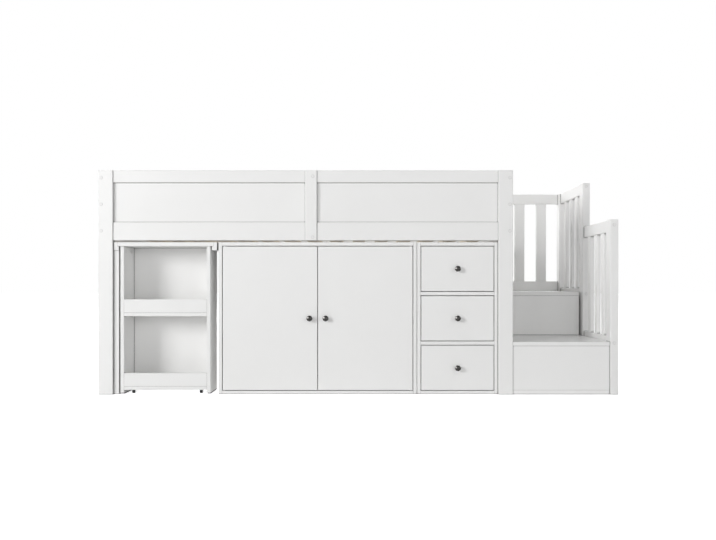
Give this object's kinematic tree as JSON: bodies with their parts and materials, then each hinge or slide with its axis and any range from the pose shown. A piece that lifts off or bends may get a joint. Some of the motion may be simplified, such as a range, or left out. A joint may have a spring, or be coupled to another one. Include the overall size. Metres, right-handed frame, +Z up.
{
  "type": "loft bed",
  "caption": "Low white loft bed with panelled guards, a cupboard, a chest of drawers and a pull-out desk with a bookcase underneath, and deep steps with slatted guards at its foot.",
  "frame": {"origin": "on the floor, under the middle of the whole object's bounding box", "axes": "+X from the head end towards the stairs, +Y from the front with the doors towards the back, +Z up"},
  "size_m": [2.583, 0.984, 1.115],
  "materials": {
    "white_timber": "satin white paint over solid timber",
    "white_board": "smooth satin white lacquer",
    "white_backing": "thin matt white backing board",
    "pine": "planed bare pine",
    "dark_metal": "dark pewter, satin",
    "steel": "zinc plated",
    "dark_plastic": "satin",
    "white_plastic": "satin"
  },
  "bodies": {
    "bed_frame": {"bed_slats": "pine", "bolt_caps": "white_plastic", "chest_back": "white_backing", "chest_boards": "white_board", "chest_sides": "white_board", "cupboard_back": "white_backing", "cupboard_shelf": "white_board", "cupboard_sides": "white_board", "cupboard_top_and_base": "white_board", "desk_runners": "white_board", "desk_side_panel": "white_board", "door_pivot_pins": "steel", "drawer_runners": "steel", "foot_end_frame": "white_timber", "foot_end_panel": "white_timber", "front_panels": "white_timber", "front_posts": "white_timber", "front_side_rails": "white_timber", "front_top_rails": "white_timber", "guard_stiles": "white_timber", "head_end_frame": "white_timber", "head_end_panel": "white_timber", "rear_panels": "white_timber", "rear_posts": "white_timber", "rear_rails": "white_timber", "shelf_battens": "pine", "slat_ledges": "pine", "stair_carcasses": "white_board", "stair_guard_rails": "white_timber", "stair_guard_slats": "white_timber", "stair_posts": "white_timber", "stair_risers": "white_board", "stair_side_panels": "white_timber", "stair_treads": "white_board"},
    "desk": {"desk_top": "white_board", "bookcase_sides": "white_board", "bookcase_shelves": "white_board", "bookcase_lips": "white_board", "bookcase_back": "white_backing", "castor_brackets": "steel", "castor_axles": "steel"},
    "castor_wheel_left": {"castor_wheel_left": "dark_plastic"},
    "castor_wheel_right": {"castor_wheel_right": "dark_plastic"},
    "door_left": {"cupboard_door_left": "white_board", "cupboard_knob_left": "dark_metal"},
    "door_right": {"cupboard_door_right": "white_board", "cupboard_knob_right": "dark_metal"},
    "drawer_top": {"drawer_front_top": "white_board", "drawer_box_top": "pine", "drawer_slides_top": "steel", "drawer_knob_top": "dark_metal"},
    "drawer_middle": {"drawer_front_middle": "white_board", "drawer_box_middle": "pine", "drawer_slides_middle": "steel", "drawer_knob_middle": "dark_metal"},
    "drawer_bottom": {"drawer_front_bottom": "white_board", "drawer_box_bottom": "pine", "drawer_slides_bottom": "steel", "drawer_knob_bottom": "dark_metal"}
  },
  "joints": [
    {"name": "desk_slide", "type": "slide", "parent": "bed_frame", "child": "desk", "axis": [0, -1, 0], "range_m": [0, 0.45]},
    {"name": "wheel_left_spin", "type": "hinge", "parent": "desk", "child": "castor_wheel_left", "pos_m": [-1.131, -0.422, 0.0095], "axis": [1, 0, 0], "continuous": true},
    {"name": "wheel_right_spin", "type": "hinge", "parent": "desk", "child": "castor_wheel_right", "pos_m": [-0.791, -0.422, 0.0095], "axis": [1, 0, 0], "continuous": true},
    {"name": "door_left_hinge", "type": "hinge", "parent": "bed_frame", "child": "door_left", "pos_m": [-0.6675, -0.46, 0.379], "axis": [0, 0, -1], "range_deg": [0, 90]},
    {"name": "door_right_hinge", "type": "hinge", "parent": "bed_frame", "child": "door_right", "pos_m": [0.263, -0.46, 0.379], "axis": [0, 0, 1], "range_deg": [0, 90]},
    {"name": "drawer_top_slide", "type": "slide", "parent": "bed_frame", "child": "drawer_top", "axis": [0, -1, 0], "range_m": [0, 0.38]},
    {"name": "drawer_middle_slide", "type": "slide", "parent": "bed_frame", "child": "drawer_middle", "axis": [0, -1, 0], "range_m": [0, 0.38]},
    {"name": "drawer_bottom_slide", "type": "slide", "parent": "bed_frame", "child": "drawer_bottom", "axis": [0, -1, 0], "range_m": [0, 0.38]}
  ]
}
